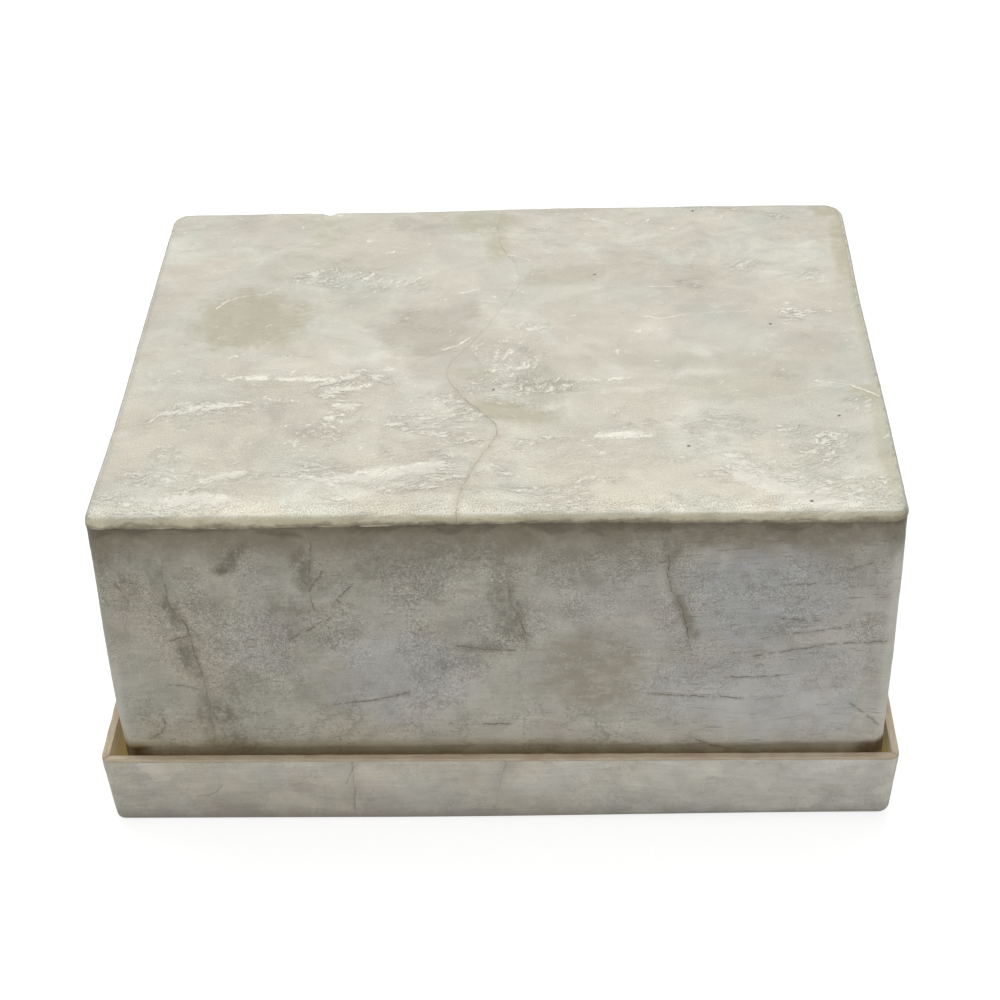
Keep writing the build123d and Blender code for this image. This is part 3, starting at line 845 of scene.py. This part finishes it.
def topFinish():
    # the lid's top: pearly cream with soft brown and pale patches, crumpled flecks with painted white
    # flashes and painted light and shade, and two round scars
    f = Finish("shellTop", {"Specular IOR Level": 0.5, "Coat Weight": 0.3, "Coat Roughness": 0.1})
    sheet, own, combed = shellPlaces(f, 24)
    right, toBack = f.parts(sheet)[:2]
    cool = f.rise(f.noise(own, 0.05, 3, 0.5, 0.5), 0.42, 0.6)
    colour = f.mix(topTints["warm"], topTints["cool"], cool)
    brown = f.noise(f.moved(own, shift=(40, 3, 0)), 0.05, 3, 0.5, 0.8)
    colour = f.mix(colour, topTints["brown"], f.rise(brown, 0.46, 0.64) * 0.4)
    pale = f.noise(f.moved(own, (0.09, 0.12, 0.1), shift=(9, 7, 0)), 1, 4, 0.6, 0.8)
    colour = f.mix(colour, topTints["milky"], f.rise(pale, 0.5, 0.68) * 0.6)
    colour = f.mix(colour, topTints["dim"], f.attribute("dim") * 0.75)
    colour = f.mix(colour, topTints["pale"], f.attribute("pale") * 0.5)
    broad = f.noise(f.moved(own, shift=(2, 8, 0)), 0.045, 3, 0.5)
    cloud = f.noise(own, 0.14, 5, 0.58, 0.7)
    wisp = f.noise(f.moved(combed, (0.15, 0.5, 0.3)), 1, 5, 0.6, 0.6)
    grit = f.noise(f.moved(own, (4.2, 3, 1)), 1, 2, 0.7)
    # crumpled patches, more of them towards the front, are full of short flecks and creases; fleck less
    # beside paints light on one side of each crease and shade on the other
    patch = f.noise(f.moved(own, (0.06, 0.1, 0.1), shift=(3, 1, 0)), 1, 4, 0.6, 0.6)
    crumpled = f.attribute("glint") | f.rise(patch - f.rise(toBack, -46, 0, 0, 0.1), 0.46, 0.58)
    twist = f.offset(f.noise(own, 0.3, 3, 0.6, out="Color"), (-0.5, -0.5, -0.5))
    wrung = f.moved(f.offset(combed, f.toned(twist, 4)), turn=-16)
    fleck = f.noise(f.moved(wrung, (0.42, 1.7, 1)), 1, 6, 0.76, 0.4)
    beside = f.noise(f.moved(wrung, (0.42, 1.7, 1), shift=(0.04, 0.4, 0)), 1, 6, 0.76, 0.4)
    crease = f.noise(f.moved(wrung, (0.3, 0.95, 1), shift=(5, 2, 0)), 1, 4, 0.55)
    gritty = f.rise(toBack, -46, -38, 2.6, 0.8) * f.rise(toBack, -20, 0, 1, 0.5)
    tone = (0.98 + (broad - 0.5) * 0.5 + (cloud - 0.5) * 0.55 + (wisp - 0.5) * 0.2 + (grit - 0.5) * gritty
            + (fleck - beside) * (crumpled * 1.5 + 0.15))
    # painted light: the top is painted lighter towards its front edge, as a reflection of the back light
    # would make it, and a little darker towards the back
    paintedFrontLight = (f.rise(toBack, -40, 46, 1, 0.94) + f.rise(toBack, -48, -20, 0.17, 0)
           + f.rise(toBack, -45, -38, 0.17, 0))
    colour = f.toned(colour, tone * paintedFrontLight)
    scarred = f.mix(topTints["leftScar"], topTints["rightScar"], f.rise(right, -27, -22))
    scarred = f.toned(scarred, 1 + (cloud - 0.5) * 0.5 + (fleck - beside) * 0.4)
    colour = f.mix(colour, scarred, f.attribute("scar") * 0.9)
    tan = f.attribute("tan") * f.rise(f.noise(own, 0.4, 5, 0.65), 0.3, 0.52, 0.3, 1)
    band = f.rise(right + (cloud - 0.5) * 2.4, 54.9, 56.2) * f.rise(toBack, -10, 25, 0.6, 1)
    colour = f.mix(colour, topTints["tan"], (tan | band) * 0.85)
    # painted highlights: the crease lines, the thin lines of topLines, the strokes and the flecks past the
    # threshold are painted white as flashes of light
    line = f.rise((crease - 0.5).size(), 0, 0.018, 1, 0) * crumpled
    thin = f.rise(f.lines(sheet, own, 1.1, topLines), 0.06, 0.3, 0.9, 0) * f.rise(cloud, 0.4, 0.5, 0.2, 1)
    glinting = fleck + crumpled * 0.12 + f.attribute("light") * 0.135 + f.attribute("pale") * 0.05
    paintedFlash = ((f.rise(glinting, 0.62, 0.685) | line * 0.8) * f.rise(grit, 0.3, 0.45, 0.6, 1)) | thin
    colour = f.mix(colour, topTints["paintedFlash"], paintedFlash)
    # the folded edge is yellower, darkens downwards, carries a painted highlight along its bend and ends in
    # broken layers over a painted shadow line
    lip = f.parts(f.attribute("gaps", "Vector"))[2]
    edge = f.noise(f.moved(own, (0.3, 0.6, 1)), 1, 5, 0.65)
    # bright is a painted highlight along the bend
    bright = f.rise(lip, 1.45, 1.8) * f.rise(lip, 1.8, 2.4, 1, 0)
    sallow = f.mix(topTints["lipCream"], topTints["lipYellow"], f.rise(f.noise(own, 0.09, 4), 0.42, 0.6))
    colour = f.mix(colour, sallow, f.rise(lip + edge * 0.6, 1.2, 2.4, 0.9, 0))
    colour = f.mix(colour, topTints["lipHighlight"], bright * f.rise(edge, 0.38, 0.54, 0, 0.95))
    ply = lip + (edge - 0.5) * 2.2
    plies = f.noise(f.joined((right + toBack) * 0.12, lip * 2.8, f.attribute("leaf")), 1, 4, 0.65, 0.3)
    lower = f.rise(ply, 0.25, 0.9, 1, 0)
    colour = f.mix(colour, topTints["lipLower"], lower * 0.9)
    colour = f.mix(colour, topTints["lipPly"], lower * f.rise(plies, 0.56, 0.64) * 0.75)
    # painted shadow at the lip's lower edge, fainter towards the right
    under = f.rise(ply, -0.1, 0.25, 0.9, 0) * f.rise(right, -10, 25, 1, 0.5)
    colour = f.mix(colour, topTints["lipShadow"], under)
    colour = f.mix(colour, topTints["sideFold"], f.attribute("shade") * f.rise(lip, 1.6, 2.3, 0.5, 0))
    colour = seamTone(f, colour, own, topTints["seam"], topTints["seamShadow"])
    dots = f.distance(sheet, topSpecks[0])
    for place in topSpecks[1:]:
        dots = dots & f.distance(sheet, place)
    dots = f.rise(dots + f.noise(own, 3, 2) * 0.4, 0.34, 0.58, 0.95, 0)
    colour = f.mix(colour, topTints["speck"], dots)
    height = cloud * 0.8 + wisp * 0.3 + grit * 0.06 + fleck * (crumpled * 0.8 + 0.12) + thin * 0.3
    f.paint(colour=colour, roughness=f.rise(paintedFlash, 0, 0.8, 0.38, 0.22), normal=f.bump(height, 0.8, 0.5))
    return f.material


frontLines = {
    # thin dark cracks on the front, as (distance from the middle, height) points
    "lowLeft": [(-52.6, 14.5), (-50.8, 15.6), (-49.9, 17.3), (-50.4, 19.6)],
    "leftAcross": [(-48.6, 25.2), (-46, 25), (-43.7, 24)],
    "leftTick": [(-47.4, 33.4), (-44.5, 34.5)],
    "low": [(-24.4, 21.3), (-18.5, 22), (-13.3, 23.4)],
    "middle": [(-5.8, 32.2), (-1.5, 31.5), (2.4, 31.3)],
    "rising": [(-30.1, 33.4), (-27, 35.4), (-23.3, 37.9)],
    "vee": [(-24.4, 45.7), (-26.6, 42.2), (-26, 38.9)],
    "veeSmall": [(-20.6, 43.2), (-22.6, 40.7), (-21.9, 38.2)],
    "crease": [(-25.6, 51), (-25.9, 48.6), (-26.2, 45.7)],
    "leftUp": [(-54.2, 43.9), (-52.6, 41)],
    "long": [(36.8, 30), (43.3, 31.2), (47.5, 32.1), (55.8, 32.6)],
    "corner": [(51.4, 20.8), (54.2, 18.2), (56.1, 16.3)],
    "foot": [(28.3, 14.3), (31, 12.8), (33.9, 12)],
    "shortA": [(40.7, 42.8), (44.9, 43.1)],
    "shortB": [(40.1, 36.9), (46, 36.4)],
    "shortC": [(42.3, 34.1), (50.3, 35.3)],
    "shortD": [(33, 26), (40.4, 26.2)],
    "shortE": [(21.8, 22.9), (35.2, 22.1)],
    "shortF": [(50.2, 45.7), (52.6, 46.6)],
    "marks": [(-7.4, 17.3), (-6.6, 17.1)],
    "marksB": [(-4.2, 17.1), (1.1, 17.1)],
}

wallTints = {
    # the colours of the lid's walls
    "warm": rgb(0.54, 0.505, 0.40),
    "cool": rgb(0.535, 0.52, 0.435),
    "bright": rgb(0.58, 0.565, 0.505),
    "bluish": rgb(0.545, 0.55, 0.55),
    "pink": rgb(0.57, 0.50, 0.455),
    "wisp": rgb(0.69, 0.67, 0.56),
    "dirt": rgb(0.30, 0.27, 0.21),
    "light": rgb(0.72, 0.70, 0.62),
    "hair": rgb(0.22, 0.195, 0.15),
    "shade": rgb(0.165, 0.15, 0.10),
    "scar": rgb(0.40, 0.36, 0.27),
    "pale": rgb(0.71, 0.70, 0.61),
    "grimeAndShade": rgb(0.24, 0.205, 0.135),
    "darkGrimeAndShade": rgb(0.11, 0.09, 0.055),
    "fleck": rgb(0.235, 0.21, 0.155),
    "crack": rgb(0.15, 0.13, 0.09),
    "crackShadow": rgb(0.30, 0.27, 0.205),
    "seamShadow": rgb(0.30, 0.265, 0.195),
    "honey": rgb(0.50, 0.41, 0.255),
    "stainAndGapShadow": rgb(0.36, 0.27, 0.14),
    "stainAndShadowCore": rgb(0.06, 0.03, 0.01),
}
# Heights above and below which the staining with its painted shadow, and its dark core, fade
stainAndShadowFades = {"above": 12.4, "below": 12.1, "coreAbove": 12.2, "coreBelow": 11.9}


def frontCracks(f, sheet, own, colour):
    # the cracks wander a little off their lines and break off in places, each with a faint painted shadow
    # beside it
    near = f.lines(sheet, own, 0.9, frontLines)
    broken = f.rise(f.noise(own, 0.8, 4, 0.65), 0.36, 0.56, 0.1, 1)
    colour = f.mix(colour, wallTints["crackShadow"], f.rise(near, 0.1, 0.7, 0.35, 0) * broken)
    return f.mix(colour, wallTints["crack"], f.rise(near, 0.03, 0.17, 0.7, 0) * broken)


def mottled(f, own, combed, streaky, gritty):
    # the lightness of dull shell: soft clouds, uneven flakes, level streaks and, in patches, fine grit
    cloud = f.noise(own, 0.2, 5, 0.56, 0.4)
    streak = f.noise(f.moved(combed, (0.13, 1.7, 0.5)), 1, 4, 0.62, 0.2)
    grit = f.noise(own, 4.0, 2, 0.7)
    worn = f.rise(f.noise(f.moved(own, shift=(7, 2, 0)), 0.13, 4, 0.6), 0.42, 0.56)
    aside = f.toned(f.noise(own, 0.25, 4, 0.62, out="Color"), 7)
    cell, edge = f.flakes(f.moved(f.offset(own, aside), (0.13, 0.17, 0.1)), 1)
    tone = (0.97 + (cloud - 0.5) * 0.65 + (streak - 0.5) * streaky + (cell - 0.5) * 0.1
            + (grit - 0.5) * (worn * 0.6 + 0.4) * gritty)
    return tone, cloud, streak, grit, worn, edge


def crazing(f, colour, own, combed, worn, edge, strength):
    # worn patches carry dark flecks, a net of hairline cracks and the edges of flakes
    fleck = f.noise(f.moved(combed, (0.8, 1.6, 1)), 1, 5, 0.72, 0.8)
    net = f.noise(own, 0.6, 4, 0.6, 1.0)
    cracks = f.rise((net - 0.5).size(), 0.004, 0.022, 0.7, 0) | f.rise(edge, 0.004, 0.03, 0.6, 0)
    return f.mix(colour, wallTints["fleck"], (f.rise(fleck, 0.56, 0.68) | cracks) * worn * strength)


def wallFinish(name, front=False):
    # duller shell: mottled grey-beige, dark hairlines, painted shade with some dirt under the lip, and
    # staining with painted shadow at the foot
    f = Finish(name, {"Specular IOR Level": 0.45, "Coat Weight": 0.22, "Coat Roughness": 0.2})
    sheet, own, combed = shellPlaces(f, 8)
    along, height = f.parts(sheet)[:2]
    cool = f.rise(f.noise(own, 0.06, 3, 0.55, 0.5), 0.42, 0.6)
    bright = f.rise(along, -50, 45, 0, 1 if front else 0.4)
    colour = f.mix(wallTints["warm"], wallTints["cool"], cool)
    colour = f.mix(colour, wallTints["bright"], bright * 0.9)
    colour = f.mix(colour, wallTints["bluish"], f.attribute("cool") * 0.8)
    pink = f.noise(f.moved(own, shift=(31, 5, 0)), 0.11, 2)
    colour = f.mix(colour, wallTints["pink"], f.rise(pink, 0.5, 0.72) * 0.4)
    calm = f.rise(along, 10, 40) * f.rise(height, 34, 20)
    wisps = f.noise(f.moved(combed, (0.1, 0.35, 0.2)), 1, 5, 0.6, 0.6)
    colour = f.mix(colour, wallTints["wisp"], f.rise(wisps, 0.48, 0.7) * (0.12 if front else 0.6))
    gritty = f.rise(height, 14, 36, 0.5, 2.1 if front else 0.7) * (1 - calm * 0.4)
    tone, cloud, streak, grit, worn, edge = mottled(f, own, combed, 0.3, gritty)
    lift = f.rise(along, -32, -12) * f.rise(height, 32, 18) * 0.08
    # painted light: the wall is a little lighter low down and darker towards the lip, as bounce light from
    # the floor falls
    colour = f.toned(colour, tone * f.rise(height, 14, 50, 1.02, 0.91) + lift + calm * 0.05)
    colour = crazing(f, colour, own, combed, worn, edge, (0.75 if front else 0.3) * (1 - calm * 0.6))
    mottle = f.noise(f.moved(own, (0.2, 0.28, 0.2)), 1, 6, 0.68, 0.5)
    dirt = f.rise(mottle, 0.5, 0.68) * f.rise(height, 14, 50, 0.05, 0.5)
    colour = f.mix(colour, wallTints["dirt"], dirt)
    light = f.attribute("light") * f.rise(mottle, 0.35, 0.55, 0.55, 0.1)
    colour = f.mix(colour, wallTints["light"], light * 0.8)
    hairs = f.noise(f.moved(combed, (0.3, 3.4, 1), turn=2), 1, 2, 0.5, 0.3) + f.rise(along, 0, 30, 0, 0.035)
    hair = f.rise(hairs, 0.68, 0.75)
    colour = f.mix(colour, wallTints["hair"], hair * 0.5)
    smear = f.noise(f.moved(own, (0.9, 0.6, 1), turn=25), 1, 5, 0.7, 0.5)
    shade = f.attribute("shade") * f.rise(smear + mottle * 0.5, 0.6, 0.85, 0.2, 1)
    colour = f.mix(colour, wallTints["shade"], shade * 0.85)
    patchy = f.rise(f.noise(f.moved(combed, (0.3, 0.6, 1)), 1, 5, 0.65), 0.35, 0.6, 0.3, 0.85)
    colour = f.mix(colour, wallTints["scar"], f.attribute("scar") * patchy)
    # on the walls pale comes only from the front corner wraps: a painted highlight on their rounding
    colour = f.mix(colour, wallTints["pale"], f.attribute("pale") * 0.5)
    # painted shade, with some dirt, darkens the wall under the lip
    ragged = height + (f.noise(own, 0.25, 6, 0.68) - 0.5) * 9
    colour = f.mix(colour, wallTints["grimeAndShade"], f.rise(ragged, 44.5, 54, 0, 0.95) * (1 - bright * 0.12))
    colour = f.mix(colour, wallTints["darkGrimeAndShade"], f.rise(height + (mottle - 0.5) * 7, 51.6, 54, 0, 0.7))
    colour = seamTone(f, colour, own, wallTints["crack"], wallTints["seamShadow"])
    if front:
        colour = frontCracks(f, sheet, own, colour)
    # a brown band, partly staining and partly painted shadow of the gap at the tray's rim, marks how deep
    # the foot stands in the tray, with a dark core of painted shadow; it fades downwards over shell that is
    # honey-coloured there
    foot = height + (f.noise(f.moved(own, (0.08, 0.3, 0.1)), 1, 3) - 0.5) * 1.6
    honey = f.rise(foot, 9, 13, 0.6, 0) * f.rise(mottle, 0.35, 0.6, 0.35, 1)
    colour = f.mix(colour, wallTints["honey"], honey)
    least, most = (0.75, 1) if front else (0.1, 0.7)
    stainedAndShaded = f.rise(f.noise(own, 0.22, 5, 0.65), 0.36, 0.56, least, most)
    thinner = f.rise(along, 5, 25, 0, 0.7)
    if front:
        stainedAndShaded = stainedAndShaded * (1 - f.rise(along.size(), 55, 51) * f.rise(along.size(), 55, 57, 1, 0) * 0.6)
    above = foot - stainAndShadowFades["above"]
    streaked = f.rise(f.noise(f.moved(own, (0.4, 0.09, 1)), 1, 4, 0.6), 0.35, 0.65, 0.6, 0.32)
    below = (stainAndShadowFades["below"] - foot) * streaked
    halo = f.rise((above | below) + thinner, 0.9, 2.2, 0.85, 0)
    colour = f.mix(colour, wallTints["stainAndGapShadow"], halo * stainedAndShaded)
    # the dark core is painted shadow just above the rim, with some dirt
    core = (foot - stainAndShadowFades["coreAbove"]) | (stainAndShadowFades["coreBelow"] - foot) * (streaked + 0.2)
    colour = f.mix(colour, wallTints["stainAndShadowCore"], f.rise(core, 0.4, 1.3, 0.95, 0) * stainedAndShaded)
    relief = cloud * 0.9 + grit * 0.1 + streak * 0.2 - hair * 0.15
    f.paint(colour=colour, roughness=f.rise(mottle, 0.3, 0.7, 0.38, 0.55), normal=f.bump(relief, 0.7, 0.4))
    return f.material


trayLines = {
    # fine cracks on the tray's front, as (distance from the middle, height) points
    "left": [(-45.8, 5), (-44, 5.1), (-42.7, 5.8), (-41.7, 7.4)],
    "crease": [(-21.5, 11.1), (-22.2, 9.6), (-22.9, 7.6)],
    "middle": [(-21.6, 6.5), (-22, 2.1)],
}

trayTints = {
    # the colours of the tray's outside
    "warm": rgb(0.665, 0.625, 0.52),
    "cool": rgb(0.655, 0.635, 0.56),
    "pink": rgb(0.64, 0.56, 0.49),
    "bright": rgb(0.66, 0.655, 0.60),
    "dirt": rgb(0.36, 0.315, 0.25),
    "foot": rgb(0.33, 0.29, 0.25),
    "crack": rgb(0.26, 0.225, 0.17),
    "seam": rgb(0.2, 0.17, 0.12),
    "seamShadow": rgb(0.40, 0.35, 0.275),
}


def trayFinish():
    # the tray's outside: pale grey-beige, combed along its length, browner towards the foot
    f = Finish("shellTray", {"Specular IOR Level": 0.45, "Coat Weight": 0.15, "Coat Roughness": 0.2})
    sheet, own, combed = shellPlaces(f, 8)
    along, height = f.parts(sheet)[:2]
    cool = f.rise(f.noise(own, 0.07, 3, 0.55, 0.5), 0.42, 0.6)
    colour = f.mix(trayTints["warm"], trayTints["cool"], cool)
    pink = f.noise(f.moved(own, shift=(31, 5, 0)), 0.12, 2)
    colour = f.mix(colour, trayTints["pink"], f.rise(pink, 0.5, 0.7) * 0.4)
    tone, cloud, streak, grit, worn, edge = mottled(f, own, combed, 0.35, 0.5)
    colour = f.mix(colour, trayTints["bright"], f.rise(along, 0, 45) * 0.6)
    colour = f.toned(colour, tone * f.rise(height, 0.5, 10, 0.84, 1.06) + f.rise(along, -40, 0, 0, 0.07))
    colour = crazing(f, colour, own, combed, worn, edge, 0.25)
    mottle = f.noise(f.moved(own, (0.2, 0.4, 0.2)), 1, 6, 0.68, 0.5)
    colour = f.mix(colour, trayTints["dirt"], f.rise(mottle, 0.55, 0.74) * 0.28)
    ragged = height + (f.noise(own, 0.3, 4, 0.65) - 0.5) * 4
    colour = f.mix(colour, trayTints["foot"], f.rise(ragged, -0.4, 3, 0.7, 0))
    # the cracks are on the front only, where the third number of "shows" is 1
    near = f.lines(sheet, own, 0.5, trayLines) + (1 - f.parts(f.attribute("shows", "Vector"))[2])
    crack = f.rise(near, 0.04, 0.2, 0.4, 0) * f.rise(streak, 0.35, 0.5, 0.3, 1)
    colour = f.mix(colour, trayTints["crack"], crack)
    colour = seamTone(f, colour, own, trayTints["seam"], trayTints["seamShadow"])
    relief = cloud * 0.9 + grit * 0.1 + streak * 0.3
    f.paint(colour=colour, roughness=f.rise(mottle, 0.3, 0.7, 0.38, 0.55), normal=f.bump(relief, 0.7, 0.4))
    return f.material


rimTints = {
    # the colours of the rim's strips
    "cream": rgb(0.68, 0.58, 0.41),
    "tan": rgb(0.60, 0.475, 0.34),
    "dark": rgb(0.36, 0.27, 0.17),
    "pale": rgb(0.80, 0.76, 0.60),
}


def rimFinish():
    # the edging strip: warm cream, layered along its length
    f = Finish("rimEdging", {"Specular IOR Level": 0.5})
    own = shellPlaces(f, 8)[1]
    colour = f.mix(rimTints["cream"], rimTints["tan"], f.rise(f.noise(own, 0.15, 4), 0.4, 0.62))
    layers = f.noise(f.moved(own, (0.2, 4, 1)), 1, 4, 0.65, 0.3)
    colour = f.mix(colour, rimTints["dark"], f.rise(layers, 0.5, 0.72) * 0.6)
    colour = f.mix(colour, rimTints["pale"], f.rise(layers, 0.3, 0.42, 0.6, 0))
    f.paint(colour=colour, roughness=f.rise(layers, 0.3, 0.7, 0.34, 0.5), normal=f.bump(layers, 0.5, 0.2))
    return f.material


liningTints = {
    # the colours of the inner plies
    "warm": rgb(0.63, 0.56, 0.40),
    "cool": rgb(0.67, 0.61, 0.48),
    "amber": rgb(0.82, 0.62, 0.21),
    "wisp": rgb(0.77, 0.71, 0.56),
    "brown": rgb(0.42, 0.32, 0.17),
}


def liningFinish():
    # the inner plies: pale honey shell under old lacquer, amber on the walls low down as painted light
    # seeping through, and all of it glowing faintly with its own colour, which is painted light too
    f = Finish("shellLining", {"Specular IOR Level": 0.5, "Coat Weight": 0.25, "Coat Roughness": 0.12,
                               "Emission Strength": 0.12})
    own = f.objectPlace()
    height = f.parts(own)[2]
    broad = f.rise(f.noise(own, 0.05, 4, 0.6, 0.6), 0.38, 0.62)
    colour = f.mix(liningTints["warm"], liningTints["cool"], broad)
    amber = f.rise(height, 1.6, 3.5) * f.rise(height, 15, 7)
    colour = f.mix(colour, liningTints["amber"], amber * 0.9)
    wisps = f.noise(f.moved(own, (0.09, 0.13, 0.9)), 1, 5, 0.62, 0.6)
    colour = f.mix(colour, liningTints["wisp"], f.rise(wisps, 0.48, 0.72) * 0.6)
    mottle = f.noise(own, 0.18, 6, 0.66, 0.5)
    colour = f.mix(colour, liningTints["brown"], f.rise(mottle, 0.52, 0.74) * 0.28)
    # painted light: the lining glows with its own colour, though it is no lamp
    f.paint(colour=colour, glow=colour, roughness=f.rise(mottle, 0.3, 0.7, 0.3, 0.45),
            normal=f.bump(wisps * 0.6 + mottle * 0.4, 0.3, 0.2))
    return f.material


finishes = {
    "top": topFinish(),
    "front": wallFinish("shellFront", True),
    "wall": wallFinish("shellWall"),
    "tray": trayFinish(),
    "rim": rimFinish(),
    "lining": liningFinish(),
}
print("finishes mixed")

for right, word in ((False, "Left"), (True, "Right")):
    makePiece("lidTopLeaf" + word, topLeaf(right, 1 + right), "lid", "shell_top", finishes["top"],
              "lid_top_leaf_" + word.lower())
print("lid top laid")


def patchyShow(seed):
    # a hidden seam shows in some stretches and not in others
    return lambda height: 0.2 + 0.55 * smoothStep(-0.2, 0.4, noise.noise((height / 9, seed, 1)))


def unseen(height):
    return 0


# A leaf's number also sets its place in the patterns: leaves on one side lie close together there
for index, (side, seams) in enumerate(lidSeams.items()):
    seed = 40 * (index + 1)
    lines = [wrapLine(side, -1)]
    lines += [seamLine(points, 20 + seed + number) for number, points in enumerate(seams)]
    lines += [wrapLine(side, 1)]
    if side == "front":
        shows = [lambda at, points=points: curveAt(points, at) for points in frontShows]
    else:
        shows = [patchyShow(seed + number) for number, points in enumerate(seams)]
    shows = [unseen, *shows, unseen]
    finish = finishes["front" if side == "front" else "wall"]
    for number in range(1, len(lines)):
        between = slice(number - 1, number + 1)
        leaf = wallLeaf(side, lines[between], shows[between], seed + 1.3 * number)
        makePiece(f"lid{side.capitalize()}Leaf{number}", leaf, "lid", "shell_wall", finish,
                  f"lid_{side}_leaf_{number}")

# Each corner's wrap: the side it starts from, at which end of it, and its number
wraps = {"front_left": ("front", -1, 41.3), "front_right": ("front", 1, 46.5),
         "back_right": ("back", -1, 121.3), "back_left": ("back", 1, 123.9)}
for corner, (side, end, seed) in wraps.items():
    finish = finishes["front" if side == "front" else "wall"]
    name = "lidWrap" + corner.title().replace("_", "")
    makePiece(name, wrapLeaf(side, end, seed), "lid", "shell_wrap", finish, f"lid_corner_wrap_{corner}")
print("lid walls laid")

for index, (side, seams) in enumerate(traySeams.items()):
    seed = 40 * (index + 5)
    lines = [None] + [seamLine(points, 60 + seed + number) for number, points in enumerate(seams)] + [None]
    shows = [unseen] + [patchyShow(seed + 20 + number) for number, points in enumerate(seams)] + [unseen]
    for number in range(1, len(lines)):
        between = slice(number - 1, number + 1)
        leaf = trayLeaf(side, lines[between], shows[between], seed + 1.3 * number)
        makePiece(f"tray{side.capitalize()}Leaf{number}", leaf, "tray", "shell_tray", finishes["tray"],
                  f"tray_{side}_leaf_{number}")
    makePiece(f"trayRim{side.capitalize()}", rimStrip(side, seed), "tray", "rim_edging", finishes["rim"],
              f"tray_rim_edging_{side}")
print("tray laid")

for name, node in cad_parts.items():
    if name.endswith("_lining") or name.startswith("tray_floor_leaf"):
        for slot in node.material_slots:
            slot.material = finishes["lining"]


def addStage():
    # a pale floor that keeps the box's shadow and looks nearly white to the camera
    bm = bmesh.new()
    bmesh.ops.create_grid(bm, x_segments=1, y_segments=1, size=3)
    mesh = bpy.data.meshes.new("floor")
    bm.to_mesh(mesh)
    bm.free()
    floor = bpy.data.objects.new("floor", mesh)
    bpy.context.scene.collection.objects.link(floor)
    f = Finish("paleFloor", {"Roughness": 0.9, "Specular IOR Level": 0.0, "Emission Strength": 1})
    seen = f.node("ShaderNodeLightPath", out="Is Camera Ray")
    f.paint(colour=f.mix(rgb(0.8, 0.8, 0.8), rgb(0.42, 0.42, 0.42), seen),
            glow=f.mix(rgb(0, 0, 0), rgb(0.78, 0.78, 0.78), seen))
    mesh.materials.append(f.material)


def addWorld(strength):
    world = bpy.data.worlds.new("softRoom")
    bpy.context.scene.world = world
    world.use_nodes = True
    tree = world.node_tree
    path = tree.nodes.new("ShaderNodeLightPath")
    white = path.outputs["Is Camera Ray"]
    for ray in ("Is Glossy Ray", "Is Transmission Ray"):
        either = tree.nodes.new("ShaderNodeMath")
        either.operation = "MAXIMUM"
        tree.links.new(white, either.inputs[0])
        tree.links.new(path.outputs[ray], either.inputs[1])
        white = either.outputs[0]
    blend = tree.nodes.new("ShaderNodeMix")
    tree.links.new(white, blend.inputs[0])
    blend.inputs[2].default_value = strength
    blend.inputs[3].default_value = 1
    back = tree.nodes["Background"]
    back.inputs["Color"].default_value = (1, 1, 1, 1)
    tree.links.new(blend.outputs[0], back.inputs["Strength"])


lamps = {
    # place, what it points at, width and height in metres, watts
    "overhead": ((-0.1, 0.25, 0.9), (0, 0, 0.03), (0.7, 0.5), 2.8),
    "backWindow": ((0.05, 0.95, 0.75), (0, 0, 0.05), (0.8, 0.4), 2.0),
    "frontFill": ((0.3, -0.9, 0.5), (0, 0, 0.02), (0.6, 0.6), 1.0),
}


def addLamp(name, place, target, size, watts):
    light = bpy.data.lights.new(name, "AREA")
    light.shape = "RECTANGLE"
    light.size, light.size_y = size
    light.energy = watts
    lamp = bpy.data.objects.new(name, light)
    bpy.context.scene.collection.objects.link(lamp)
    lamp.location = place
    lamp.rotation_euler = (Vector(target) - Vector(place)).to_track_quat("-Z", "Y").to_euler()


cameraPlace = {
    "location": (0.011621, -0.286859, 0.229163),
    "yaw": 2.396,              # degrees to the left
    "pitch": 35.245,           # degrees down
    "roll": -1.873,
    "lens": 77.86,
}


def addCamera():
    camera = bpy.data.objects.new("camera", bpy.data.cameras.new("camera"))
    bpy.context.scene.collection.objects.link(camera)
    turn = Matrix.Rotation(math.radians(cameraPlace["yaw"]), 4, "Z")
    turn = turn @ Matrix.Rotation(math.radians(90 - cameraPlace["pitch"]), 4, "X")
    turn = turn @ Matrix.Rotation(math.radians(cameraPlace["roll"]), 4, "Z")
    camera.matrix_world = Matrix.Translation(cameraPlace["location"]) @ turn
    camera.data.lens = cameraPlace["lens"]
    camera.data.sensor_width = 36
    camera.data.clip_start = 0.01
    bpy.context.scene.camera = camera


addStage()
addWorld(0.45)
for name, values in lamps.items():
    addLamp(name, *values)
addCamera()
bpy.context.scene.view_settings.view_transform = "Standard"
print("stage, lights and camera set")
